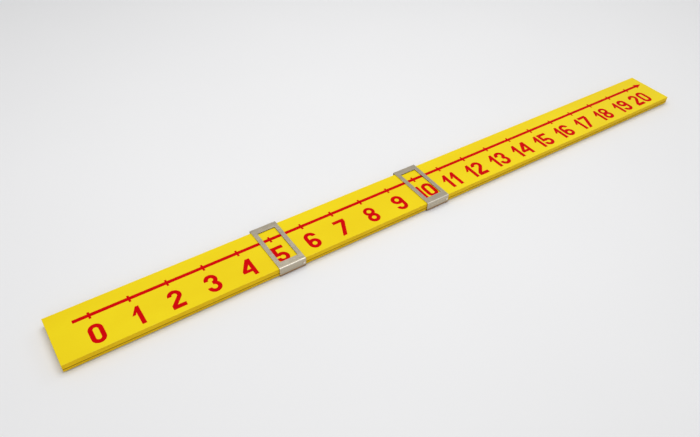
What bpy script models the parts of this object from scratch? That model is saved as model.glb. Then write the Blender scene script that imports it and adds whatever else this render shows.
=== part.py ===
# Number-line rule: a long two-layer board with two sheet-metal window sliders that run along it.
# Metres, +X along the rule, +Y towards its back edge, +Z up. The origin is the middle of the
# footprint, on the surface that the sliders' lips stand on.

import math

import bmesh
import bpy
from mathutils import Matrix, Vector

# Board, made of two layers glued together
RULE_LENGTH = 1.100
RULE_WIDTH = 0.081
FACE_THICKNESS = 0.0077
BACKING_THICKNESS = 0.0043
GLUE_LINE = 0.0003
BOARD_EDGE_RADIUS = 0.0006

# Slider: one bent sheet that wraps the board from above, with a lip under each long edge
SLIDER_LENGTH = 0.040
SHEET = 0.0010
SIDE_STRIP = 0.0064
END_STRIP = 0.0112
WINDOW_CORNER = 0.0006
LIP_DEPTH = 0.0115
TOP_BEND_RADIUS = 0.0016
LIP_BEND_RADIUS = 0.0021
FRONT_CLEARANCE = 0.0007
BACK_CLEARANCE = 0.0029
TOP_CLEARANCE = 0.0005
UNDER_CLEARANCE = 0.00045
SHEET_EDGE_BREAK = 0.00012
BEND_STEPS = 6

# Dimple pressed into the front flange: hollow outside, a rubbing nub inside
DIMPLE_DIAMETER = 0.0042
DIMPLE_DEPTH = 0.0007
NUB_DIAMETER = 0.0036
NUB_HEIGHT = 0.0004
DIMPLE_FROM_END = 0.0034

# Leaf spring between the back flange and the board
SPRING_INSET = 0.003
SPRING_HEIGHT = 0.0080
SPRING_THICKNESS = 0.0004
SPRING_FLAT = 0.0100
SPRING_TOE = 0.0025
SPRING_TOE_RISE = 0.0005
SPRING_STEPS = 8
SEAT_GAP = 0.0003

# Rivet that holds the spring's middle to the back flange
RIVET_SHANK_DIAMETER = 0.0020
RIVET_HEAD_DIAMETER = 0.0042
RIVET_HEAD_HEIGHT = 0.0006
RIVET_TAIL_DIAMETER = 0.0034
RIVET_TAIL_HEIGHT = 0.0005
RIVET_FIT = 0.0002
ROUND_STEPS = 24

# Slider centres at rest, measured from the middle of the rule
SLIDER_PLACES = {"left": -0.246, "right": 0.0035}

# Levels and places that follow from the sizes above
LIP_TOP = SHEET
BOARD_BOTTOM = LIP_TOP + UNDER_CLEARANCE
FACE_BOTTOM = BOARD_BOTTOM + BACKING_THICKNESS + GLUE_LINE
BOARD_TOP = FACE_BOTTOM + FACE_THICKNESS
SLIDER_HEIGHT = BOARD_TOP + TOP_CLEARANCE + SHEET
SLIDER_DEPTH = RULE_WIDTH + FRONT_CLEARANCE + BACK_CLEARANCE + 2 * SHEET
SLIDER_FRONT = -(SLIDER_DEPTH + RIVET_HEAD_HEIGHT) / 2
SLIDER_BACK = SLIDER_FRONT + SLIDER_DEPTH
SLIDER_MIDDLE = (SLIDER_FRONT + SLIDER_BACK) / 2
WINDOW_LENGTH = SLIDER_LENGTH - 2 * SIDE_STRIP
WINDOW_DEPTH = SLIDER_DEPTH - 2 * END_STRIP
SPRING_LENGTH = SLIDER_LENGTH - 2 * SPRING_INSET
BOARD_FRONT = SLIDER_FRONT + SHEET + FRONT_CLEARANCE
BOARD_BACK = BOARD_FRONT + RULE_WIDTH
FLANGE_MIDDLE = (LIP_TOP + SLIDER_HEIGHT - SHEET) / 2


def clear_scene():
    for obj in list(bpy.data.objects):
        bpy.data.objects.remove(obj)


def make_material(name, colour, roughness, metallic):
    material = bpy.data.materials.new(name)
    material.use_nodes = True
    shader = material.node_tree.nodes["Principled BSDF"]
    shader.inputs["Base Color"].default_value = (*colour, 1.0)
    shader.inputs["Roughness"].default_value = roughness
    shader.inputs["Metallic"].default_value = metallic
    material.diffuse_color = (*colour, 1.0)
    return material


def add_object(name, bm, material=None, parent=None):
    bmesh.ops.recalc_face_normals(bm, faces=bm.faces)
    mesh = bpy.data.meshes.new(name)
    bm.to_mesh(mesh)
    bm.free()
    obj = bpy.data.objects.new(name, mesh)
    bpy.context.scene.collection.objects.link(obj)
    obj.parent = parent
    if material:
        mesh.materials.append(material)
    return obj


def add_bevel(obj, width, segments):
    bevel = obj.modifiers.new("edge_break", "BEVEL")
    bevel.width = width
    bevel.segments = segments
    bevel.limit_method = "ANGLE"
    bevel.angle_limit = math.radians(50)
    bevel.use_clamp_overlap = True


def add_boolean(obj, cutter, operation):
    boolean = obj.modifiers.new(cutter.name, "BOOLEAN")
    boolean.object = cutter
    boolean.operation = operation
    boolean.solver = "EXACT"
    cutter.hide_render = True
    cutter.display_type = "WIRE"


def smooth_round_faces(obj):
    obj.data.shade_smooth()
    obj.data.set_sharp_from_angle(angle=math.radians(40))


def box_mesh(low, high):
    bm = bmesh.new()
    bmesh.ops.create_cube(bm, size=1.0)
    size = Vector(high) - Vector(low)
    middle = (Vector(high) + Vector(low)) / 2
    bmesh.ops.transform(bm, matrix=Matrix.Translation(middle) @ Matrix.Diagonal((*size, 1.0)), verts=bm.verts)
    return bm


def extruded_outline(outline, start, travel):
    """A closed body from an outline of (across, up) points, set at start and extruded by travel."""
    bm = bmesh.new()
    across = Vector((0, 1, 0)) if travel.x else Vector((1, 0, 0))
    up = Vector((0, 1, 0)) if travel.z else Vector((0, 0, 1))
    corners = [bm.verts.new(start + across * a + up * u) for a, u in outline]
    cap = bm.faces.new(corners)
    grown = bmesh.ops.extrude_face_region(bm, geom=[cap])
    moved = [item for item in grown["geom"] if isinstance(item, bmesh.types.BMVert)]
    bmesh.ops.translate(bm, verts=moved, vec=travel)
    return bm


def turned_body(profile, axis_point):
    """A body turned about an axis along +Y, from (radius, y) points that start and end on the axis."""
    bm = bmesh.new()
    points = [bm.verts.new((radius, y, 0)) for radius, y in profile]
    edges = [bm.edges.new(pair) for pair in zip(points[:-1], points[1:])]
    bmesh.ops.spin(bm, geom=points + edges, cent=(0, 0, 0), axis=(0, 1, 0),
                   angle=2 * math.pi, steps=ROUND_STEPS, use_merge=True)
    bmesh.ops.remove_doubles(bm, verts=bm.verts, dist=1e-6)
    bmesh.ops.translate(bm, verts=bm.verts, vec=axis_point)
    return bm


def arc(centre, radius, first_angle, last_angle, steps=BEND_STEPS):
    """Points on an arc in the (y, z) plane, angles in degrees from +Y towards +Z."""
    points = []
    for step in range(steps + 1):
        angle = math.radians(first_angle + (last_angle - first_angle) * step / steps)
        points.append((centre[0] + radius * math.cos(angle), centre[1] + radius * math.sin(angle)))
    return points


def sheet_outline():
    """The bent sheet seen from its end: outer skin from the front lip round to the back lip, then
    the inner skin the other way."""
    bends = (
        ((SLIDER_FRONT + LIP_BEND_RADIUS, LIP_BEND_RADIUS), LIP_BEND_RADIUS, 270, 180),
        ((SLIDER_FRONT + TOP_BEND_RADIUS, SLIDER_HEIGHT - TOP_BEND_RADIUS), TOP_BEND_RADIUS, 180, 90),
        ((SLIDER_BACK - TOP_BEND_RADIUS, SLIDER_HEIGHT - TOP_BEND_RADIUS), TOP_BEND_RADIUS, 90, 0),
        ((SLIDER_BACK - LIP_BEND_RADIUS, LIP_BEND_RADIUS), LIP_BEND_RADIUS, 0, -90),
    )
    outer = [(SLIDER_FRONT + LIP_DEPTH, 0)]
    inner = [(SLIDER_FRONT + LIP_DEPTH, SHEET)]
    for centre, radius, first_angle, last_angle in bends:
        outer += arc(centre, radius, first_angle, last_angle)
        inner += arc(centre, radius - SHEET, first_angle, last_angle)
    outer.append((SLIDER_BACK - LIP_DEPTH, 0))
    inner.append((SLIDER_BACK - LIP_DEPTH, SHEET))
    return outer + inner[::-1]


def rounded_rectangle(length, depth, radius, middle):
    outline = []
    for quarter, (along, across) in enumerate(((1, 1), (-1, 1), (-1, -1), (1, -1))):
        centre = (along * (length / 2 - radius), middle + across * (depth / 2 - radius))
        outline += arc(centre, radius, 90 * quarter, 90 * quarter + 90, steps=3)
    return outline


def spring_offset(along):
    """How far the spring has left the flange, this far from its middle."""
    bow = BACK_CLEARANCE - 2 * SEAT_GAP - SPRING_THICKNESS
    toe_start = SPRING_LENGTH / 2 - SPRING_TOE
    if along <= SPRING_FLAT / 2:
        return 0.0
    if along <= toe_start:
        share = (along - SPRING_FLAT / 2) / (toe_start - SPRING_FLAT / 2)
        return bow * (1 - math.cos(math.pi * share)) / 2
    return bow - SPRING_TOE_RISE * ((along - toe_start) / SPRING_TOE) ** 2


def spring_outline(outer_face):
    """The leaf spring from above: its face beside the flange, then its face beside the board."""
    toe_start = SPRING_LENGTH / 2 - SPRING_TOE
    half = [SPRING_FLAT / 2 + (toe_start - SPRING_FLAT / 2) * step / SPRING_STEPS
            for step in range(SPRING_STEPS + 1)]
    half += [toe_start + SPRING_TOE * step / 3 for step in (1, 2, 3)]
    stations = [-along for along in reversed(half)] + half
    near_flange = [(along, outer_face - spring_offset(abs(along))) for along in stations]
    near_board = [(along, across - SPRING_THICKNESS) for along, across in near_flange]
    return near_flange + near_board[::-1]


def rivet_profile(outer_face):
    """From the domed head outside the back flange to the upset tail inside the spring."""
    shank = RIVET_SHANK_DIAMETER / 2
    head = RIVET_HEAD_DIAMETER / 2
    tail = RIVET_TAIL_DIAMETER / 2
    head_seat = outer_face + RIVET_FIT
    dome = outer_face + RIVET_HEAD_HEIGHT - head_seat
    tail_seat = outer_face - SHEET - SEAT_GAP - SPRING_THICKNESS - RIVET_FIT
    rim = 0.35
    profile = [(0.0, outer_face + RIVET_HEAD_HEIGHT)]
    for step in range(1, 6):
        angle = math.pi / 2 * step / 5
        profile.append((head * math.sin(angle), head_seat + dome * (rim + (1 - rim) * math.cos(angle))))
    profile.append((head, head_seat))
    profile.append((shank, head_seat))
    profile.append((shank, tail_seat))
    profile.append((tail, tail_seat))
    profile.append((tail, tail_seat - RIVET_TAIL_HEIGHT * 0.6))
    profile.append((tail * 0.7, tail_seat - RIVET_TAIL_HEIGHT))
    profile.append((0.0, tail_seat - RIVET_TAIL_HEIGHT))
    return profile


def nub_profile(inner_face):
    """A shallow dome that stands on the flange's inner face, rooted in the sheet."""
    radius = NUB_DIAMETER / 2
    profile = [(0.0, inner_face + NUB_HEIGHT)]
    for step in range(1, 5):
        share = step / 4
        profile.append((radius * share, inner_face + NUB_HEIGHT * (1 - share ** 2)))
    profile.append((radius, inner_face - SHEET / 2))
    profile.append((0.0, inner_face - SHEET / 2))
    return profile


def dimple_profile(outer_face):
    """The tool that presses the hollow, which reaches in from outside the flange."""
    radius = DIMPLE_DIAMETER / 2
    profile = [(0.0, outer_face + DIMPLE_DEPTH)]
    for step in range(1, 6):
        share = step / 5
        profile.append((radius * share, outer_face + DIMPLE_DEPTH * (1 - share ** 2)))
    profile.append((radius * 1.15, outer_face - DIMPLE_DEPTH))
    profile.append((0.0, outer_face - DIMPLE_DEPTH))
    return profile


def make_board(name, bottom, thickness, material):
    low = (-RULE_LENGTH / 2, BOARD_FRONT, bottom)
    high = (RULE_LENGTH / 2, BOARD_BACK, bottom + thickness)
    board = add_object(name, box_mesh(low, high), material)
    add_bevel(board, BOARD_EDGE_RADIUS, 2)
    return board


def make_frame(side, carrier, material):
    start = Vector((-SLIDER_LENGTH / 2, 0, 0))
    body = extruded_outline(sheet_outline(), start, Vector((SLIDER_LENGTH, 0, 0)))
    frame = add_object(f"{side}_slider_frame", body, material, carrier)
    smooth_round_faces(frame)

    opening = rounded_rectangle(WINDOW_LENGTH, WINDOW_DEPTH, WINDOW_CORNER, SLIDER_MIDDLE)
    window_start = Vector((0, 0, SLIDER_HEIGHT - 2 * SHEET))
    window = extruded_outline(opening, window_start, Vector((0, 0, 3 * SHEET)))
    add_boolean(frame, add_object(f"{side}_window_cutter", window, parent=carrier), "DIFFERENCE")
    add_bevel(frame, SHEET_EDGE_BREAK, 1)

    dimple_axis = Vector((SLIDER_LENGTH / 2 - DIMPLE_FROM_END, 0, FLANGE_MIDDLE))
    nub = turned_body(nub_profile(SLIDER_FRONT + SHEET), dimple_axis)
    add_boolean(frame, add_object(f"{side}_nub", nub, parent=carrier), "UNION")
    press = turned_body(dimple_profile(SLIDER_FRONT), dimple_axis)
    add_boolean(frame, add_object(f"{side}_dimple_press", press, parent=carrier), "DIFFERENCE")
    add_boolean(frame, make_rivet_drill(side, carrier), "DIFFERENCE")
    return frame


def make_rivet_drill(side, carrier):
    radius = RIVET_SHANK_DIAMETER / 2 + RIVET_FIT
    profile = [(0.0, SLIDER_BACK + SHEET), (radius, SLIDER_BACK + SHEET),
               (radius, BOARD_BACK), (0.0, BOARD_BACK)]
    drill = turned_body(profile, Vector((0, 0, FLANGE_MIDDLE)))
    return add_object(f"{side}_rivet_drill", drill, parent=carrier)


def make_spring(side, carrier, material):
    outer_face = SLIDER_BACK - SHEET - SEAT_GAP
    start = Vector((0, 0, FLANGE_MIDDLE - SPRING_HEIGHT / 2))
    body = extruded_outline(spring_outline(outer_face), start, Vector((0, 0, SPRING_HEIGHT)))
    spring = add_object(f"{side}_slider_spring", body, material, carrier)
    add_boolean(spring, bpy.data.objects[f"{side}_rivet_drill"], "DIFFERENCE")
    smooth_round_faces(spring)
    return spring


def make_rivet(side, carrier, material):
    body = turned_body(rivet_profile(SLIDER_BACK), Vector((0, 0, FLANGE_MIDDLE)))
    rivet = add_object(f"{side}_slider_rivet", body, material, carrier)
    smooth_round_faces(rivet)
    return rivet


def make_slider(side, centre, materials):
    carrier = bpy.data.objects.new(f"{side}_slider", None)
    bpy.context.scene.collection.objects.link(carrier)
    carrier.location = (centre, 0, 0)
    make_frame(side, carrier, materials["sheet"])
    make_spring(side, carrier, materials["spring"])
    make_rivet(side, carrier, materials["rivet"])


def main():
    clear_scene()
    materials = {
        "face": make_material("yellow_lacquer", (0.86, 0.66, 0.02), 0.45, 0.0),
        "backing": make_material("yellow_backing", (0.62, 0.42, 0.01), 0.50, 0.0),
        "sheet": make_material("brushed_sheet", (0.52, 0.49, 0.44), 0.35, 1.0),
        "spring": make_material("spring_steel", (0.34, 0.35, 0.37), 0.30, 1.0),
        "rivet": make_material("rivet_steel", (0.60, 0.58, 0.54), 0.30, 1.0),
    }
    make_board("face_board", FACE_BOTTOM, FACE_THICKNESS, materials["face"])
    make_board("backing_board", BOARD_BOTTOM, BACKING_THICKNESS, materials["backing"])
    for side, centre in SLIDER_PLACES.items():
        make_slider(side, centre, materials)


main()
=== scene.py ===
import math

import bmesh
import bpy
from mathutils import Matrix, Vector
from mathutils.geometry import delaunay_2d_cdt


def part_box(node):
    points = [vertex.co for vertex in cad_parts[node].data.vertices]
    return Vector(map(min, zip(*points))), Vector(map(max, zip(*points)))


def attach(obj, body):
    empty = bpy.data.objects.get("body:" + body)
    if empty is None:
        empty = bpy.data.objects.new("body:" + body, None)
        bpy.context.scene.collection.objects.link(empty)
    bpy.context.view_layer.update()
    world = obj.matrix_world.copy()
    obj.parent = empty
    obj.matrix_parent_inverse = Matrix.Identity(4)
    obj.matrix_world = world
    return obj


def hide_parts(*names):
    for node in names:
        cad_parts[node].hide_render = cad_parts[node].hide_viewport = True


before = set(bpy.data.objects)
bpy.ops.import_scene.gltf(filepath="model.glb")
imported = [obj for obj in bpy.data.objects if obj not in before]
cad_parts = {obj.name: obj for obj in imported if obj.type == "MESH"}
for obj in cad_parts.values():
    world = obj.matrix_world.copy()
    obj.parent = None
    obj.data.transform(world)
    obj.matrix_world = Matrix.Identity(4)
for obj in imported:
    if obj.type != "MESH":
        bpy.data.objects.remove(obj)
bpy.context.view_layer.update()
print("frame loaded:", len(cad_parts), "nodes")


# Mesh tools

# A piece at the origin from a closed bmesh, with its faces turned outwards
def pieceFrom(bm, name, material=None):
    bmesh.ops.remove_doubles(bm, verts=bm.verts, dist=1e-6)
    bmesh.ops.recalc_face_normals(bm, faces=bm.faces)
    mesh = bpy.data.meshes.new(name)
    bm.to_mesh(mesh)
    bm.free()
    mesh.shade_smooth()
    if material:
        mesh.materials.append(material)
    piece = bpy.data.objects.new(name, mesh)
    bpy.context.scene.collection.objects.link(piece)
    return piece


# A straight-sided body: the outline's (across, up) points laid in two directions, then pulled along travel
def prism(outline, start, across, up, travel):
    bm = bmesh.new()
    corners = [bm.verts.new(Vector(start) + Vector(across) * a + Vector(up) * u) for a, u in outline]
    grown = bmesh.ops.extrude_face_region(bm, geom=[bm.faces.new(corners)])
    moved = [item for item in grown["geom"] if isinstance(item, bmesh.types.BMVert)]
    bmesh.ops.translate(bm, verts=moved, vec=travel)
    return bm


# Points on an arc, angles in degrees
def arc(across, up, radius, start, stop, steps):
    turn = (stop - start) / steps
    angles = [math.radians(start + turn * step) for step in range(steps + 1)]
    return [(across + radius * math.cos(angle), up + radius * math.sin(angle)) for angle in angles]


def cut(piece, cutter):
    boolean = piece.modifiers.new(cutter.name, "BOOLEAN")
    boolean.object = cutter
    boolean.solver = "EXACT"
    boolean.material_mode = "TRANSFER"


def roundEdges(piece, radius, segments):
    bevel = piece.modifiers.new("rounded edges", "BEVEL")
    bevel.width = radius
    bevel.segments = segments
    bevel.limit_method = "ANGLE"
    bevel.angle_limit = math.radians(50)
    bevel.use_clamp_overlap = False
    piece.modifiers.new("even shading", "WEIGHTED_NORMAL")


# The piece keeps what its modifiers make as a plain mesh, and the helpers go
def settle(piece, *helpers):
    bpy.context.view_layer.update()
    graph = bpy.context.evaluated_depsgraph_get()
    made = bpy.data.meshes.new_from_object(
        piece.evaluated_get(graph), preserve_all_data_layers=True, depsgraph=graph)
    piece.modifiers.clear()
    piece.data = made
    made.name = piece.name
    for helper in helpers:
        bpy.data.objects.remove(helper)


# Node tools

def colour(red, green, blue):
    shares = [value / 255 for value in (red, green, blue)]
    return (*[s / 12.92 if s <= 0.04045 else ((s + 0.055) / 1.055) ** 2.4 for s in shares], 1.0)


# Adds a node; a socket given another socket is linked to it, and any other value is set
def addNode(tree, kind, sockets=None, **settings):
    node = tree.nodes.new(kind)
    for name, value in settings.items():
        setattr(node, name, value)
    for name, value in (sockets or {}).items():
        if isinstance(value, bpy.types.NodeSocket):
            tree.links.new(value, node.inputs[name])
        else:
            node.inputs[name].default_value = value
    return node


def newMaterial(name, roughness, metallic=0.0, specular=0.5):
    material = bpy.data.materials.new(name)
    material.use_nodes = True
    shader = material.node_tree.nodes["Principled BSDF"]
    shader.inputs["Roughness"].default_value = roughness
    shader.inputs["Metallic"].default_value = metallic
    shader.inputs["Specular IOR Level"].default_value = specular
    return material, material.node_tree, shader


def objectPlace(tree):
    return addNode(tree, "ShaderNodeTexCoord").outputs["Object"]


# Noise read through a stretched place, so that a small stretch along one axis gives long streaks there
def noise(tree, place, stretch, detail=3.0, roughness=0.55):
    mapped = addNode(tree, "ShaderNodeMapping", {"Vector": place, "Scale": stretch})
    sockets = {"Vector": mapped.outputs[0], "Scale": 1.0, "Detail": detail, "Roughness": roughness}
    return addNode(tree, "ShaderNodeTexNoise", sockets).outputs["Fac"]


def spread(tree, value, low, high, toLow=0.0, toHigh=1.0):
    sockets = {"Value": value, "From Min": low, "From Max": high, "To Min": toLow, "To Max": toHigh}
    return addNode(tree, "ShaderNodeMapRange", sockets).outputs[0]


def combine(tree, operation, first, second=0.0):
    return addNode(tree, "ShaderNodeMath", {0: first, 1: second}, operation=operation).outputs[0]


def blendColour(tree, share, first, second):
    sockets = {0: share, 6: first, 7: second}
    return addNode(tree, "ShaderNodeMix", sockets, data_type="RGBA").outputs[2]


def addBump(tree, shader, height, depth, strength=1.0, under=None):
    sockets = {"Strength": strength, "Distance": depth, "Height": height}
    if under:
        sockets["Normal"] = under
    bump = addNode(tree, "ShaderNodeBump", sockets)
    tree.links.new(bump.outputs["Normal"], shader.inputs["Normal"])
    return bump.outputs["Normal"]


# Board: two lacquered layers with a thin line of glue between them

board = {
    "edgeRadius": 0.0006,
    "edgeSegments": 5,
    "faceYellow": colour(239, 214, 14),
    "faceDeep": colour(235, 206, 8),
    "sideYellow": colour(242, 202, 8),
    "sideDeep": colour(228, 185, 4),
    "backingYellow": colour(236, 194, 6),
    "backingDeep": colour(218, 174, 3),
    "wornEdge": colour(246, 224, 80),
    "wornReach": 0.0011,        # from the outer long edges, where hands rub the lacquer
    "wornFull": 0.0001,
    "wornShare": 0.5,
    # painted shade: brown darkening of the lacquer beside the joint, standing in for the groove's shade
    "jointShadeStain": colour(122, 48, 0),
    "jointShadeReach": 0.0010,
    "roughness": 0.46,
    "sideRoughness": 0.60,
    "specular": 0.12,
    "orangePeel": 0.000012,
    "glueInset": 0.0010,
    "glueOverlap": 0.00002,
    "glueSteps": 220,
    "glueWave": 0.00008,
    "glueRipple": 0.00006,
    "glueBrown": colour(96, 46, 4),
    "glueDark": colour(56, 28, 2),
}


# Satin lacquer: soft colour drift, orange peel on the flat faces, long streaks on the cut sides, rubbed edges
def lacquer(name, low, high, joint, light, deep, sideLight, sideDeep):
    material, tree, shader = newMaterial(name, board["roughness"], specular=board["specular"])
    place = objectPlace(tree)
    drift = spread(tree, noise(tree, place, (5, 14, 14), 2.0), 0.35, 0.65)
    cloud = spread(tree, noise(tree, place, (60, 60, 60), 4.0), 0.3, 0.7)
    top = blendColour(tree, drift, deep, light)
    top = blendColour(tree, combine(tree, "MULTIPLY", cloud, 0.25), top, deep)

    streak = noise(tree, place, (25, 900, 1400), 5.0)
    side = blendColour(tree, spread(tree, streak, 0.3, 0.7), sideDeep, sideLight)
    normal = addNode(tree, "ShaderNodeNewGeometry").outputs["Normal"]
    upright = addNode(tree, "ShaderNodeSeparateXYZ", {"Vector": normal}).outputs["Z"]
    facing = combine(tree, "ABSOLUTE", upright)
    flat = spread(tree, facing, 0.25, 0.8)
    base = blendColour(tree, flat, side, top)

    # How near a point is to a long edge, broken up by noise, lets the lacquer look rubbed there
    parts = addNode(tree, "ShaderNodeSeparateXYZ", {"Vector": place}).outputs
    middle = (low + high) / 2
    half = (high - low) / 2
    acrossEdge = combine(tree, "ABSOLUTE", combine(tree, "SUBTRACT", parts["Y"], middle.y))
    outer = high.z if joint < middle.z else low.z
    upEdge = combine(tree, "ABSOLUTE", combine(tree, "SUBTRACT", parts["Z"], outer))
    nearLong = spread(tree, acrossEdge, half.y - board["wornReach"], half.y - board["wornFull"])
    nearOuter = spread(tree, upEdge, board["wornReach"], board["wornFull"])
    rub = combine(tree, "MULTIPLY", nearLong, nearOuter)
    patchy = spread(tree, noise(tree, place, (90, 700, 700), 4.0), 0.42, 0.7)
    rub = combine(tree, "MULTIPLY", rub, combine(tree, "MULTIPLY", patchy, board["wornShare"]))
    base = blendColour(tree, rub, base, board["wornEdge"])

    # Painted shade of the groove along the joint, brown like the glue, reaching a little way up both layers
    fromJoint = combine(tree, "ABSOLUTE", combine(tree, "SUBTRACT", parts["Z"], joint))
    jointShade = combine(tree, "MULTIPLY", spread(tree, fromJoint, board["jointShadeReach"], 0.0),
                    spread(tree, patchy, 0.0, 1.0, 0.95, 0.75))
    base = blendColour(tree, jointShade, base, board["jointShadeStain"])
    tree.links.new(base, shader.inputs["Base Color"])

    fine = noise(tree, place, (1500, 1500, 1500), 3.0)
    satin = spread(tree, flat, 0.0, 1.0, board["sideRoughness"], board["roughness"])
    gloss = combine(tree, "ADD", spread(tree, fine, 0.2, 0.8, -0.05, 0.07), satin)
    tree.links.new(gloss, shader.inputs["Roughness"])
    peel = noise(tree, place, (420, 420, 420), 2.0)
    under = addBump(tree, shader, peel, board["orangePeel"] * 4, 0.6)
    addBump(tree, shader, fine, board["orangePeel"], 0.6, under)
    return material


def makeBoard(name, node, light, deep, sideLight, sideDeep):
    joint = (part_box("face_board")[0].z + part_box("backing_board")[1].z) / 2
    low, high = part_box(node)
    corners = [(low.x, low.y), (high.x, low.y), (high.x, high.y), (low.x, high.y)]
    body = prism(corners, (0, 0, low.z), (1, 0, 0), (0, 1, 0), (0, 0, high.z - low.z))
    paint = lacquer(name + "Lacquer", low, high, joint, light, deep, sideLight, sideDeep)
    piece = pieceFrom(body, name, paint)
    roundEdges(piece, board["edgeRadius"], board["edgeSegments"])
    settle(piece)
    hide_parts(node)
    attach(piece, "rule")


# Dried glue, set back from the boards' sides, uneven along its edge
def makeGlueLine():
    faceLow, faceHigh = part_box("face_board")
    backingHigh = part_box("backing_board")[1]
    inset = board["glueInset"]
    steps = board["glueSteps"]
    outline = []
    for side in (1, -1):
        for step in range(steps + 1):
            share = step / steps
            along = faceHigh.x - inset - (faceHigh.x - faceLow.x - 2 * inset) * share
            wave = board["glueWave"] * math.sin(57 * share)
            wave += board["glueRipple"] * math.sin(191 * share + 1.3 * side)
            across = (faceHigh.y if side > 0 else -faceLow.y) - inset + wave
            outline.append((along * side, across * side))
    start = (0, 0, backingHigh.z - board["glueOverlap"])
    travel = (0, 0, faceLow.z - backingHigh.z + 2 * board["glueOverlap"])
    material, tree, shader = newMaterial("driedGlue", 0.6, specular=0.15)
    place = objectPlace(tree)
    mottle = spread(tree, noise(tree, place, (300, 900, 900), 4.0), 0.3, 0.7)
    base = blendColour(tree, mottle, board["glueDark"], board["glueBrown"])
    tree.links.new(base, shader.inputs["Base Color"])
    tree.links.new(spread(tree, mottle, 0.0, 1.0, 0.45, 0.7), shader.inputs["Roughness"])
    addBump(tree, shader, mottle, 0.00005)
    piece = pieceFrom(prism(outline, start, (1, 0, 0), (0, 1, 0), travel), "boardGlue", material)
    piece.data.set_sharp_from_angle(angle=math.radians(30))
    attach(piece, "rule")


makeBoard("boardFace", "face_board", board["faceYellow"], board["faceDeep"],
          board["sideYellow"], board["sideDeep"])
makeBoard("boardBacking", "backing_board", board["faceYellow"], board["faceDeep"],
          board["backingYellow"], board["backingDeep"])
makeGlueLine()
print("board made")


# Geometry Nodes tools

def newTree(name, inputs):
    tree = bpy.data.node_groups.new(name, "GeometryNodeTree")
    tree.interface.new_socket("Geometry", in_out="INPUT", socket_type="NodeSocketGeometry")
    tree.interface.new_socket("Geometry", in_out="OUTPUT", socket_type="NodeSocketGeometry")
    for label, kind in inputs.items():
        tree.interface.new_socket(label, in_out="INPUT", socket_type="NodeSocket" + kind)
    return tree, addNode(tree, "NodeGroupInput").outputs


# Ends a tree in real geometry with its material
def endTree(tree, geometry, material):
    whole = addNode(tree, "GeometryNodeRealizeInstances", {"Geometry": geometry}).outputs[0]
    painted = addNode(tree, "GeometryNodeSetMaterial", {"Geometry": whole, "Material": material})
    addNode(tree, "NodeGroupOutput", {"Geometry": painted.outputs[0]})


def runTree(piece, tree, values):
    modifier = piece.modifiers.new(tree.name, "NODES")
    modifier.node_group = tree
    for socket in tree.interface.items_tree:
        if socket.in_out == "INPUT" and socket.name in values:
            modifier[socket.identifier] = values[socket.name]


# Printed scale: a line with an arrow, a tick at each whole number, and the numbers under the ticks

scale = {
    "last": 20,                 # numbers run from 0 to this one
    "pitch": 50.0,              # the rest of the sizes are in millimetres too
    "lineFromBack": 25.05,
    "lineWidth": 5.4,
    "lineBefore": 20.6,         # blunt start, left of tick 0
    "arrowBase": 27.0,          # past the last tick
    "arrowTip": 42.0,
    "arrowWidth": 12.0,
    "tickWidth": 3.0,
    "tickAbove": 5.5,
    "tickBelow": 6.0,
    "numberFoot": 47.9,         # below the line's middle
    "numberShift": -0.2,
    "inkThickness": 0.05,
    "inkRoot": 0.02,            # reaches this far into the lacquer
    "red": colour(211, 1, 7),
    "redDeep": colour(199, 1, 5),
}

numeral = {
    "height": 31.5,
    "width": 18.4,
    "stroke": 5.8,
    "arcSteps": 24,
    "oneWidth": 12.2,
    "oneTip": (4.4, 8.0),       # across, at the flag's foot and at the top
    "oneFlagFoot": 17.6,
    "oneFlagThick": 4.0,        # where it runs into the stem
    "twoSlant": 48.5,           # degrees
    "threeWaist": 16.3,
    "fourBar": (7.5, 12.7),
    "fourOuter": (12.2, 12.2),  # slanting stroke's outer side: across at the top, up at the left
    "fourInner": (3.2, 25.2),   # its inner side: across at the bar, up at the stem
    "fiveStemFoot": 12.8,
    "fiveHookEnd": 139,
    "sixHookStart": 3,
    "sevenFoot": (0.2, 6.7),
    "sevenTurn": (11.9, 6.5),   # inner corner across, outer corner below the top
    "eightRing": (8.7, 3.5),    # upper ring, outer and inner radius
    "gapAfterOne": 2.8,
    "gapAfterOther": 3.4,
}


def block(left, low, right, high):
    return [(left, low), (right, low), (right, high), (left, high)]


# A stretch of a ring, from its outer and inner radius
def bend(across, up, outer, inner, start, stop):
    steps = max(2, round(numeral["arcSteps"] * abs(stop - start) / 180))
    return (arc(across, up, outer, start, stop, steps) + arc(across, up, inner, stop, start, steps))


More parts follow.
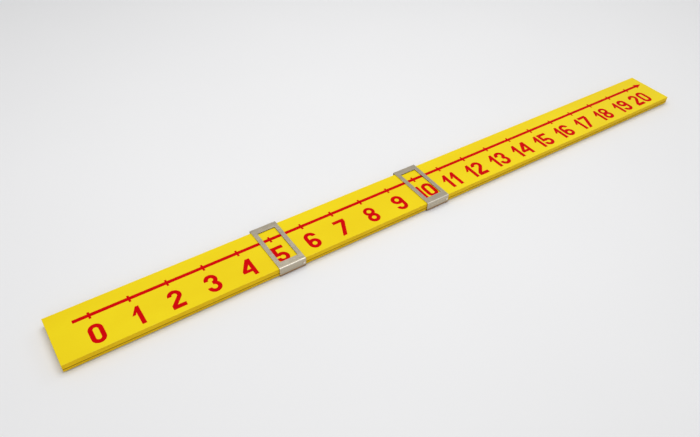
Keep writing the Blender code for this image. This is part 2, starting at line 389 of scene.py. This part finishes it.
# Each digit as touching or overlapping outlines, standing on 0 with its left side at 0
def digitOutlines():
    high = numeral["height"]
    wide = numeral["width"]
    pen = numeral["stroke"]
    half = wide / 2
    inner = half - pen
    upper = high - half

    zero = [bend(half, upper, half, inner, 0, 180), bend(half, half, half, inner, 180, 360),
            block(0, half, pen, upper), block(wide - pen, half, wide, upper)]

    one = numeral["oneWidth"]
    flag = numeral["oneFlagFoot"]
    flagInner, flagTop = numeral["oneTip"]
    oneOutline = [[(one - pen, 0), (one, 0), (one, high), (flagTop, high), (0, flag), (flagInner, flag),
                   (one - pen, flag + numeral["oneFlagThick"])]]

    # The slanting stroke of the 2 leaves its bow at a tangent and ends in the foot's top left corner
    slant = math.radians(numeral["twoSlant"])
    side = Vector((math.sin(slant), -math.cos(slant)))
    bow = Vector((half, upper))
    footTop = (bow + side * inner).y - (bow + side * inner).x * math.tan(slant)
    outerFoot = (bow + side * half).x - (bow + side * half).y / math.tan(slant)
    two = [bend(half, upper, half, inner, math.degrees(slant) - 90, 180),
           [(0, footTop), (0, 0), (outerFoot, 0), tuple(bow + side * half), tuple(bow + side * inner)],
           block(0, 0, wide - 0.2, pen + 0.5)]

    waist = numeral["threeWaist"]
    lower = (waist + pen / 2) / 2
    crown = (high + waist - pen / 2) / 2
    crownOuter = (high - waist + pen / 2) / 2
    three = [bend(half - 0.3, crown, crownOuter, crownOuter - pen, -90, 180),
             block(half - 0.3 - crownOuter, crown - 0.9, half - 0.3 - crownOuter + pen, crown),
             bend(half, lower, lower, lower - pen, -180, 90),
             block(half - lower, lower, half - lower + pen, lower + 0.5),
             block(half - 0.2, waist - pen / 2 + 0.4, half + 0.2, waist + pen / 2 - 0.4)]

    barLow, barHigh = numeral["fourBar"]
    outerTop, outerLeft = numeral["fourOuter"]
    innerFoot, innerStem = numeral["fourInner"]
    stem = wide - pen / 2
    four = [block(wide - pen, 0, wide, high), block(0, barLow, stem, barHigh),
            [(0, barLow), (innerFoot, barLow), (stem, innerStem), (stem, high), (outerTop, high),
             (0, outerLeft)]]

    stemFoot = numeral["fiveStemFoot"]
    fiveBow = half + 0.2
    five = [block(0.3, high - pen, wide - 0.4, high), block(0.3, stemFoot, 0.2 + pen, high),
            bend(half, fiveBow, fiveBow, fiveBow - pen, -180, numeral["fiveHookEnd"])]

    six = [bend(half, upper, half, inner, numeral["sixHookStart"], 180), block(0, half, pen, upper),
           bend(half, half, half, inner, 0, 180), bend(half, half, half, inner, 180, 360)]
    nine = [[(wide - across, high - up) for across, up in outline] for outline in six]

    footLeft, footRight = numeral["sevenFoot"]
    turnInner, turnOuter = numeral["sevenTurn"]
    seven = [[(0, high), (0, high - pen), (turnInner, high - pen), (footLeft, 0), (footRight, 0),
              (wide, high - turnOuter), (wide, high)]]

    ringOuter, ringInner = numeral["eightRing"]
    eight = [bend(half, high - ringOuter, ringOuter, ringInner, 0, 180),
             bend(half, high - ringOuter, ringOuter, ringInner, 180, 360),
             bend(half, half, half, inner, 0, 180), bend(half, half, half, inner, 180, 360)]
    return [zero, oneOutline, two, three, four, five, six, seven, eight, nine]


# One thin closed body from outlines in millimetres; where they overlap they become one
def inkBody(outlines):
    points = []
    loops = []
    for outline in outlines:
        area = sum(a[0] * b[1] - b[0] * a[1] for a, b in zip(outline, outline[1:] + outline[:1]))
        loops.append(list(range(len(points), len(points) + len(outline))))
        points += [Vector(point) for point in (outline if area > 0 else outline[::-1])]
    places, _, triangles, _, _, owners = delaunay_2d_cdt(points, [], loops, 0, 1e-4)
    root = -scale["inkRoot"]
    bm = bmesh.new()
    corners = [bm.verts.new((point.x, point.y, root)) for point in places]
    for triangle, owner in zip(triangles, owners):
        if owner:
            bm.faces.new([corners[index] for index in triangle])
    bmesh.ops.delete(bm, geom=[corner for corner in corners if not corner.link_faces], context="VERTS")
    bmesh.ops.dissolve_limit(bm, angle_limit=0.01, verts=bm.verts, edges=bm.edges)
    grown = bmesh.ops.extrude_face_region(bm, geom=bm.faces[:])
    moved = [item for item in grown["geom"] if isinstance(item, bmesh.types.BMVert)]
    bmesh.ops.translate(bm, verts=moved, vec=(0, 0, scale["inkThickness"] - root))
    bmesh.ops.scale(bm, vec=(0.001, 0.001, 0.001), verts=bm.verts)
    return bm


# Screen-printed ink: even, a little thinner in places, with a fine dry surface
def ink():
    material, tree, shader = newMaterial("scaleInk", 0.55, specular=0.03)
    place = objectPlace(tree)
    drift = spread(tree, noise(tree, place, (120, 120, 120), 4.0), 0.3, 0.7)
    base = blendColour(tree, drift, scale["redDeep"], scale["red"])
    tree.links.new(base, shader.inputs["Base Color"])
    grain = noise(tree, place, (2200, 2200, 2200), 3.0)
    tree.links.new(spread(tree, grain, 0.2, 0.8, 0.48, 0.64), shader.inputs["Roughness"])
    addBump(tree, shader, grain, 0.00001, 0.7)
    return material


# The line with its arrow, with one tick set on each whole number and joined into one print
def makeScaleLine(material, start, level):
    pitch = scale["pitch"] / 1000
    end = scale["pitch"] * scale["last"]
    halfLine = scale["lineWidth"] / 2
    halfArrow = scale["arrowWidth"] / 2
    line = block(-scale["lineBefore"], -halfLine, end + scale["arrowBase"] + 1, halfLine)
    arrow = [(end + scale["arrowBase"], -halfArrow), (end + scale["arrowTip"], 0),
             (end + scale["arrowBase"], halfArrow)]
    lineBody = inkBody([line, arrow])
    bmesh.ops.translate(lineBody, verts=lineBody.verts, vec=(start.x, start.y, level))
    piece = pieceFrom(lineBody, "scaleLine")
    halfTick = scale["tickWidth"] / 2
    tickShape = [block(-halfTick, -scale["tickBelow"], halfTick, scale["tickAbove"])]
    tick = pieceFrom(inkBody(tickShape), "tickShape")

    tree, given = newTree("ticksOnLine", {"Tick": "Object", "Count": "Int", "Pitch": "Float",
                                          "Start": "Vector", "Ink": "Material"})
    step = addNode(tree, "ShaderNodeCombineXYZ", {"X": given["Pitch"]}).outputs[0]
    places = addNode(tree, "GeometryNodeMeshLine", {"Count": given["Count"], "Start Location": given["Start"],
                                                    "Offset": step}).outputs[0]
    shape = addNode(tree, "GeometryNodeObjectInfo", {"Object": given["Tick"]}).outputs["Geometry"]
    ticks = addNode(tree, "GeometryNodeInstanceOnPoints", {"Points": places, "Instance": shape}).outputs[0]
    ticks = addNode(tree, "GeometryNodeRealizeInstances", {"Geometry": ticks}).outputs[0]
    union = addNode(tree, "GeometryNodeMeshBoolean", {"Mesh 2": ticks}, operation="UNION", solver="EXACT")
    tree.links.new(given["Geometry"], union.inputs["Mesh 2"])
    endTree(tree, union.outputs[0], given["Ink"])
    runTree(piece, tree, {"Tick": tick, "Count": scale["last"] + 1, "Pitch": pitch,
                          "Start": (start.x, start.y, level), "Ink": material})
    settle(piece, tick)
    finishPrint(piece)


# A point for each digit, which takes the digit's shape from the ten that were drawn
def makeNumbers(material, start, level):
    drawn = bpy.data.collections.new("drawnDigits")
    shapes = []
    for value, outlines in enumerate(digitOutlines()):
        shape = pieceFrom(inkBody(outlines), f"digit{value}")
        bpy.context.scene.collection.objects.unlink(shape)
        drawn.objects.link(shape)
        shapes.append(shape)

    places = []
    digits = []
    for number in range(scale["last"] + 1):
        values = [int(letter) for letter in str(number)]
        widths = [numeral["oneWidth"] if value == 1 else numeral["width"] for value in values]
        gap = numeral["gapAfterOne"] if values[0] == 1 else numeral["gapAfterOther"]
        whole = sum(widths) + gap * (len(values) - 1)
        across = number * scale["pitch"] + scale["numberShift"] - whole / 2
        for value, width in zip(values, widths):
            places.append((start.x + across / 1000, start.y - scale["numberFoot"] / 1000, level))
            digits.append(value)
            across += width + gap
    mesh = bpy.data.meshes.new("digitPlaces")
    mesh.from_pydata(places, [], [])
    mesh.attributes.new("digit", "INT", "POINT").data.foreach_set("value", digits)
    piece = bpy.data.objects.new("scaleNumbers", mesh)
    bpy.context.scene.collection.objects.link(piece)

    tree, given = newTree("digitsAtPlaces", {"Digits": "Collection", "Ink": "Material"})
    sockets = {"Collection": given["Digits"], "Separate Children": True, "Reset Children": True}
    shapesIn = addNode(tree, "GeometryNodeCollectionInfo", sockets)
    which = addNode(tree, "GeometryNodeInputNamedAttribute", {"Name": "digit"}, data_type="INT")
    sockets = {"Points": given["Geometry"], "Instance": shapesIn.outputs[0], "Pick Instance": True,
               "Instance Index": which.outputs["Attribute"]}
    placed = addNode(tree, "GeometryNodeInstanceOnPoints", sockets).outputs[0]
    endTree(tree, placed, given["Ink"])
    runTree(piece, tree, {"Digits": drawn, "Ink": material})
    settle(piece, *shapes)
    bpy.data.collections.remove(drawn)
    finishPrint(piece)


def finishPrint(piece):
    piece.data.shade_flat()
    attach(piece, "rule")


def makeScale():
    low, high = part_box("face_board")
    margin = (high.x - low.x - scale["pitch"] / 1000 * scale["last"]) / 2
    start = Vector((low.x + margin, high.y - scale["lineFromBack"] / 1000, 0))
    printed = ink()
    makeScaleLine(printed, start, high.z)
    makeNumbers(printed, start, high.z)


makeScale()
print("scale printed")


# Sliders: a bent sheet with a window, a leaf spring behind it and the rivet that holds the spring

sheet = {
    "thickness": 0.0010,
    "lipDepth": 0.0115,
    "topBend": 0.0016,
    "lipBend": 0.0021,
    "sideStrip": 0.0064,
    "endStrip": 0.0112,
    "windowCorner": 0.0006,
    "cornerSteps": 6,
    "edgeRadius": 0.00014,
    "edgeSegments": 2,
    "bendSteps": 14,
    "dimpleFromEnd": 0.0034,
    "dimpleRadius": 0.0021,
    "dimpleDepth": 0.00095,
    "nubHeight": 0.0004,
    "dimpleGrid": 0.00018,
    "metal": colour(200, 190, 170),
    "metalDeep": colour(179, 169, 149),
    # painted shade: dark gold standing in for the shadowed floor reflected low on the flanges, and for shade
    # on faces turned down or away from the light
    "paintedShade": colour(158, 110, 40),
    "paintedShadeFrom": 0.0046,      # heights above the ground
    "paintedShadeFull": 0.0022,
    # painted highlight: near white on the rounding of the top bends and on the dimple's lower wall, where
    # faces turn towards the light
    "paintedHighlight": colour(248, 240, 226),    # on the bends' rounding
    # partly painted shade: dark brown window walls, oxidised cut edge darkened to stand in for the shadow
    # under the window's edges
    "cutEdge": colour(84, 34, 2),
    "roughness": 0.31,
}

spring = {
    "thickness": 0.0004,
    "flat": 0.010,
    "toe": 0.0025,
    "toeRise": 0.0005,
    "toeSteps": 5,
    "steps": 18,
    "edgeRadius": 0.00006,
    "edgeSegments": 2,
    "steel": colour(150, 154, 160),
    "steelDeep": colour(112, 116, 124),
}

rivet = {
    "headHeight": 0.0006,
    "headRim": 0.35,            # share of the dome's height that is its straight rim
    "shankRadius": 0.0010,
    "tailRadius": 0.0017,
    "tailHeight": 0.0005,
    "fit": 0.0002,              # clearance in its hole
    "drillBefore": 0.001,
    "drillDepth": 0.005,
    "domeSteps": 9,
    "turns": 48,
    "steel": colour(196, 190, 178),
    "steelDeep": colour(168, 160, 146),
}


# Sheet metal brushed along the rule, with finger marks in its roughness. Painted shade goes low on the
# flanges and on faces turned down or away from the light, and a painted highlight goes on the top bends and
# the dimple's lit wall
def brushedSheet():
    material, tree, shader = newMaterial("brushedSheet", sheet["roughness"], metallic=0.9)
    place = objectPlace(tree)
    hair = noise(tree, place, (45, 5200, 5200), 4.0, 0.7)
    band = noise(tree, place, (12, 900, 900), 3.0)
    smudge = spread(tree, noise(tree, place, (110, 110, 110), 3.0), 0.42, 0.72)
    streaks = combine(tree, "ADD", combine(tree, "MULTIPLY", hair, 0.6), combine(tree, "MULTIPLY", band, 0.4))
    base = blendColour(tree, spread(tree, streaks, 0.34, 0.66), sheet["metalDeep"], sheet["metal"])
    up = addNode(tree, "ShaderNodeSeparateXYZ", {"Vector": place}).outputs["Z"]
    # painted shade: darker and browner towards the ground, standing in for the shadowed floor reflected in
    # the flanges' lower bend
    low = combine(tree, "MULTIPLY", spread(tree, up, sheet["paintedShadeFrom"], sheet["paintedShadeFull"]), 0.9)
    normal = addNode(tree, "ShaderNodeNewGeometry").outputs["Normal"]
    turned = addNode(tree, "ShaderNodeSeparateXYZ", {"Vector": normal}).outputs
    inDimple = spread(tree, combine(tree, "ABSOLUTE", turned["X"]), 0.9, 0.8)
    # how far a face leans towards the light from above and the upper left; the leftward lean counts only on
    # the dimple's slanted walls
    towardsLight = combine(tree, "SUBTRACT", turned["Z"], combine(tree, "MULTIPLY", turned["X"], inDimple))
    # painted highlight: faces leaning towards the light on the top bends and in the dimple go almost white
    paintedHighlight = combine(tree, "MULTIPLY", spread(tree, towardsLight, 0.2, 0.5), spread(tree, turned["Z"], 0.98, 0.88))
    base = blendColour(tree, paintedHighlight, base, sheet["paintedHighlight"])
    # painted shade: faces turned down or away from the light, such as the sheet's underside and the dimple's
    # upper wall, go dark gold as well
    paintedShadeShare = combine(tree, "MAXIMUM", low, spread(tree, towardsLight, -0.15, -0.5, 0.0, 0.95))
    base = blendColour(tree, paintedShadeShare, base, sheet["paintedShade"])
    tree.links.new(base, shader.inputs["Base Color"])
    rough = spread(tree, streaks, 0.3, 0.7, sheet["roughness"] - 0.07, sheet["roughness"] + 0.09)
    rough = combine(tree, "ADD", rough, combine(tree, "MULTIPLY", smudge, 0.06))
    tree.links.new(rough, shader.inputs["Roughness"])
    addBump(tree, shader, hair, 0.000003, 0.7)
    return material


# The punched window's walls, brown like oxidised cut metal and painted darker still as shade for the gap
# under the window's edges
def cutEdge():
    material, tree, shader = newMaterial("cutEdge", 0.7, metallic=0.2, specular=0.1)
    grain = noise(tree, objectPlace(tree), (700, 700, 2600), 4.0)
    # painted shade: mostly dark brown for the shadowed walls, with a little metal showing through
    base = blendColour(tree, spread(tree, grain, 0.3, 0.75, 0.0, 0.25), sheet["cutEdge"], sheet["metalDeep"])
    tree.links.new(base, shader.inputs["Base Color"])
    addBump(tree, shader, grain, 0.00002, 0.6)
    return material


def springSteel():
    material, tree, shader = newMaterial("springSteel", 0.3, metallic=1.0)
    place = objectPlace(tree)
    rolled = noise(tree, place, (60, 2600, 2600), 4.0)
    base = blendColour(tree, spread(tree, rolled, 0.3, 0.7), spring["steelDeep"], spring["steel"])
    tree.links.new(base, shader.inputs["Base Color"])
    tree.links.new(spread(tree, rolled, 0.3, 0.7, 0.24, 0.38), shader.inputs["Roughness"])
    addBump(tree, shader, rolled, 0.000004, 0.8)
    return material


def rivetSteel():
    material, tree, shader = newMaterial("rivetSteel", 0.28, metallic=1.0)
    place = objectPlace(tree)
    hammered = noise(tree, place, (900, 900, 900), 3.0)
    base = blendColour(tree, spread(tree, hammered, 0.3, 0.7), rivet["steelDeep"], rivet["steel"])
    tree.links.new(base, shader.inputs["Base Color"])
    tree.links.new(spread(tree, hammered, 0.3, 0.7, 0.22, 0.36), shader.inputs["Roughness"])
    addBump(tree, shader, hammered, 0.00002, 0.5)
    return material


# The bent sheet from its end, as (outer, inner) pairs of (y, z) points from the front lip to the back lip
def sheetSection(low, high):
    thick = sheet["thickness"]
    lip = sheet["lipBend"]
    top = sheet["topBend"]
    bends = ((low.y + lip, low.z + lip, lip, 270, 180), (low.y + top, high.z - top, top, 180, 90),
             (high.y - top, high.z - top, top, 90, 0), (high.y - lip, low.z + lip, lip, 0, -90))
    section = [((low.y + sheet["lipDepth"], low.z), (low.y + sheet["lipDepth"], low.z + thick))]
    for number, (across, up, radius, start, stop) in enumerate(bends):
        outer = arc(across, up, radius, start, stop, sheet["bendSteps"])
        inner = arc(across, up, radius - thick, start, stop, sheet["bendSteps"])
        section += zip(outer, inner)
        if number == 0:
            heights = dimpleStations(flangeMiddle(low, high))
            section += [((low.y, height), (low.y + thick, height)) for height in heights]
    section.append(((high.y - sheet["lipDepth"], low.z), (high.y - sheet["lipDepth"], low.z + thick)))
    return section


def flangeMiddle(low, high):
    return (low.z + sheet["thickness"] + high.z - sheet["thickness"]) / 2


def dimpleStations(middle):
    count = math.ceil(sheet["dimpleRadius"] / sheet["dimpleGrid"]) + 1
    return [middle + sheet["dimpleGrid"] * step for step in range(-count, count + 1)]


# Both skins of the sheet as grids, the flange's pressed in at the dimple, closed along the cut edges
def sheetBody(low, high):
    dimple = Vector((high.x - sheet["dimpleFromEnd"], flangeMiddle(low, high)))
    columns = [low.x, *dimpleStations(dimple.x), high.x]
    section = sheetSection(low, high)
    front = low.y + sheet["thickness"] / 2
    bm = bmesh.new()
    skins = []
    for skin, press in ((0, sheet["dimpleDepth"]), (1, sheet["nubHeight"])):
        rows = []
        for pair in section:
            across, up = pair[skin]
            row = []
            for along in columns:
                far = (Vector((along, up)) - dimple).length / sheet["dimpleRadius"]
                inside = far < 1 and abs(across - front) < 0.001
                pressed = press * (1 - far ** 2) if inside else 0.0
                row.append(bm.verts.new((along, across + pressed, up)))
            rows.append(row)
        skins.append(rows)
        for first, second in zip(rows[:-1], rows[1:]):
            for index in range(len(columns) - 1):
                bm.faces.new((first[index], first[index + 1], second[index + 1], second[index]))
    outer, inner = skins
    for row in (0, -1):
        for index in range(len(columns) - 1):
            bm.faces.new((outer[row][index], outer[row][index + 1], inner[row][index + 1], inner[row][index]))
    for column in (0, -1):
        for first in range(len(section) - 1):
            bm.faces.new((outer[first][column], outer[first + 1][column], inner[first + 1][column],
                          inner[first][column]))
    return bm


def windowCutter(low, high, material):
    centre = (low + high) / 2
    radius = sheet["windowCorner"]
    halfLength = (high.x - low.x) / 2 - sheet["sideStrip"]
    halfDepth = (high.y - low.y) / 2 - sheet["endStrip"]
    outline = []
    for quarter, (along, across) in enumerate(((1, 1), (-1, 1), (-1, -1), (1, -1))):
        outline += arc(centre.x + along * (halfLength - radius), centre.y + across * (halfDepth - radius),
                       radius, 90 * quarter, 90 * quarter + 90, sheet["cornerSteps"])
    start = (0, 0, high.z - 2 * sheet["thickness"])
    body = prism(outline, start, (1, 0, 0), (0, 1, 0), (0, 0, 3 * sheet["thickness"]))
    return pieceFrom(body, "windowCutter", material)


def rivetDrill(centre, height, back):
    radius = rivet["shankRadius"] + rivet["fit"]
    outline = arc(centre, height, radius, 0, 360 - 360 / rivet["turns"], rivet["turns"] - 1)
    start = (0, back + rivet["drillBefore"], 0)
    body = prism(outline, start, (1, 0, 0), (0, 0, 1), (0, -rivet["drillDepth"], 0))
    return pieceFrom(body, "rivetDrill")


# The leaf spring from above: flat at the rivet, bowed to the board, its toes turned back a little
def springBody(low, high):
    centre = (low.x + high.x) / 2
    halfLength = (high.x - low.x) / 2
    bow = high.y - low.y - spring["thickness"]
    toeStart = halfLength - spring["toe"]
    halfFlat = spring["flat"] / 2
    half = [halfFlat + (toeStart - halfFlat) * step / spring["steps"] for step in range(spring["steps"] + 1)]
    toeSteps = spring["toeSteps"]
    half += [toeStart + spring["toe"] * step / toeSteps for step in range(1, toeSteps + 1)]
    nearFlange = []
    for along in [-station for station in reversed(half)] + half:
        share = min(1.0, (abs(along) - halfFlat) / (toeStart - halfFlat))
        past = max(0.0, abs(along) - toeStart) / spring["toe"]
        offset = bow * (1 - math.cos(math.pi * share)) / 2 - spring["toeRise"] * past ** 2
        nearFlange.append((centre + along, high.y - offset))
    nearBoard = [(along, across - spring["thickness"]) for along, across in reversed(nearFlange)]
    return prism(nearFlange + nearBoard, (0, 0, low.z), (1, 0, 0), (0, 1, 0), (0, 0, high.z - low.z))


# Domed head outside the back flange, shank through both sheets, upset tail inside the spring
def rivetBody(low, high):
    middle = (low + high) / 2
    head = (high.x - low.x) / 2
    seat = high.y - rivet["headHeight"] + rivet["fit"]
    dome = high.y - seat
    rim = rivet["headRim"]
    tailSeat = low.y + rivet["tailHeight"]
    tail = rivet["tailRadius"]
    angles = [math.pi / 2 * step / rivet["domeSteps"] for step in range(rivet["domeSteps"] + 1)]
    profile = [(head * math.sin(turn), seat + dome * (rim + (1 - rim) * math.cos(turn))) for turn in angles]
    profile += [(head, seat), (rivet["shankRadius"], seat), (rivet["shankRadius"], tailSeat)]
    profile += [(tail, tailSeat), (tail, low.y + rivet["tailHeight"] * 0.4),
                (tail * 0.9, low.y + rivet["tailHeight"] * 0.12), (tail * 0.7, low.y), (0.0, low.y)]
    bm = bmesh.new()
    points = [bm.verts.new((radius, across, 0)) for radius, across in profile]
    edges = [bm.edges.new(pair) for pair in zip(points[:-1], points[1:])]
    bmesh.ops.spin(bm, geom=points + edges, cent=(0, 0, 0), axis=(0, 1, 0), angle=2 * math.pi,
                   steps=rivet["turns"], use_merge=True)
    bmesh.ops.translate(bm, verts=bm.verts, vec=(middle.x, 0, middle.z))
    return bm


def finishSliderPiece(piece, side, node):
    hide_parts(node)
    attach(piece, f"{side}_slider")


def makeSlider(side, sheetMetal, windowWallShade, springMetal, rivetMetal):
    low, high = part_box(f"{side}_slider_frame")
    centre = (low.x + high.x) / 2
    drill = rivetDrill(centre, flangeMiddle(low, high), high.y)
    window = windowCutter(low, high, windowWallShade)
    bentSheet = pieceFrom(sheetBody(low, high), f"{side}Frame", sheetMetal)
    cut(bentSheet, window)
    cut(bentSheet, drill)
    roundEdges(bentSheet, sheet["edgeRadius"], sheet["edgeSegments"])
    settle(bentSheet, window)
    finishSliderPiece(bentSheet, side, f"{side}_slider_frame")

    leaf = pieceFrom(springBody(*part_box(f"{side}_slider_spring")), f"{side}Spring", springMetal)
    cut(leaf, drill)
    roundEdges(leaf, spring["edgeRadius"], spring["edgeSegments"])
    settle(leaf, drill)
    finishSliderPiece(leaf, side, f"{side}_slider_spring")

    pin = pieceFrom(rivetBody(*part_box(f"{side}_slider_rivet")), f"{side}Rivet", rivetMetal)
    pin.data.set_sharp_from_angle(angle=math.radians(40))
    finishSliderPiece(pin, side, f"{side}_slider_rivet")


def makeSliders():
    metals = (brushedSheet(), cutEdge(), springSteel(), rivetSteel())
    for side in ("left", "right"):
        makeSlider(side, *metals)


makeSliders()
print("sliders made")


# Studio: pale floor, soft light from above with a low fill and a low back light, the camera

studio = {
    "floorSize": 14.0,
    "floorLevel": -0.0001,
    "floorPale": colour(236, 236, 236),
    "floorDim": colour(233, 233, 233),
    "skyColour": (0.985, 0.985, 1.0),
    "skyStrength": 0.54,
    "lampPlace": (-0.06, 0.16, 1.4),
    "lampSize": 1.2,
    "lampPower": 11.5,
    "fillPlace": (-0.95, -1.15, 0.75),
    "fillSize": 0.35,
    "fillPower": 1.35,
    "rimPlace": (1.15, 0.35, 0.9),
    "rimSize": 0.4,
    "rimPower": 1.4,
    "cameraPlace": (-0.54334, -0.58966, 0.66041),
    "cameraTurn": (47.737, -1.689, -33.789),    # degrees
    "lens": 34.48,
    "sensor": 36.0,
    "clip": (0.01, 50.0),
}


def makeFloor():
    half = studio["floorSize"] / 2
    material, tree, shader = newMaterial("paleFloor", 0.75, specular=0.2)
    place = objectPlace(tree)
    tone = spread(tree, noise(tree, place, (1.2, 1.2, 1.2), 3.0), 0.3, 0.7)
    base = blendColour(tree, tone, studio["floorDim"], studio["floorPale"])
    tree.links.new(base, shader.inputs["Base Color"])
    bm = bmesh.new()
    corners = [(-half, -half), (half, -half), (half, half), (-half, half)]
    bm.faces.new([bm.verts.new((across, up, studio["floorLevel"])) for across, up in corners])
    floor = pieceFrom(bm, "floor", material)


def makeLight():
    world = bpy.data.worlds.new("studioSky")
    world.use_nodes = True
    sky = world.node_tree.nodes["Background"]
    sky.inputs["Color"].default_value = (*studio["skyColour"], 1.0)
    sky.inputs["Strength"].default_value = studio["skyStrength"]
    bpy.context.scene.world = world
    for name, key in (("overheadSoftbox", "lamp"), ("frontFill", "fill"), ("backRim", "rim")):
        lamp = bpy.data.lights.new(name, "AREA")
        lamp.shape = "SQUARE"
        lamp.size = studio[key + "Size"]
        lamp.energy = studio[key + "Power"]
        holder = bpy.data.objects.new(name, lamp)
        holder.location = studio[key + "Place"]
        if key != "lamp":       # the other two look at the middle of the rule
            holder.rotation_euler = (-holder.location).to_track_quat("-Z", "Y").to_euler()
        bpy.context.scene.collection.objects.link(holder)


def makeCamera():
    lens = bpy.data.cameras.new("camera")
    lens.lens = studio["lens"]
    lens.sensor_width = studio["sensor"]
    lens.clip_start, lens.clip_end = studio["clip"]
    camera = bpy.data.objects.new("camera", lens)
    camera.location = studio["cameraPlace"]
    camera.rotation_euler = [math.radians(angle) for angle in studio["cameraTurn"]]
    bpy.context.scene.collection.objects.link(camera)
    bpy.context.scene.camera = camera


makeFloor()
makeLight()
makeCamera()
bpy.context.scene.view_settings.view_transform = "Standard"
print("studio set")
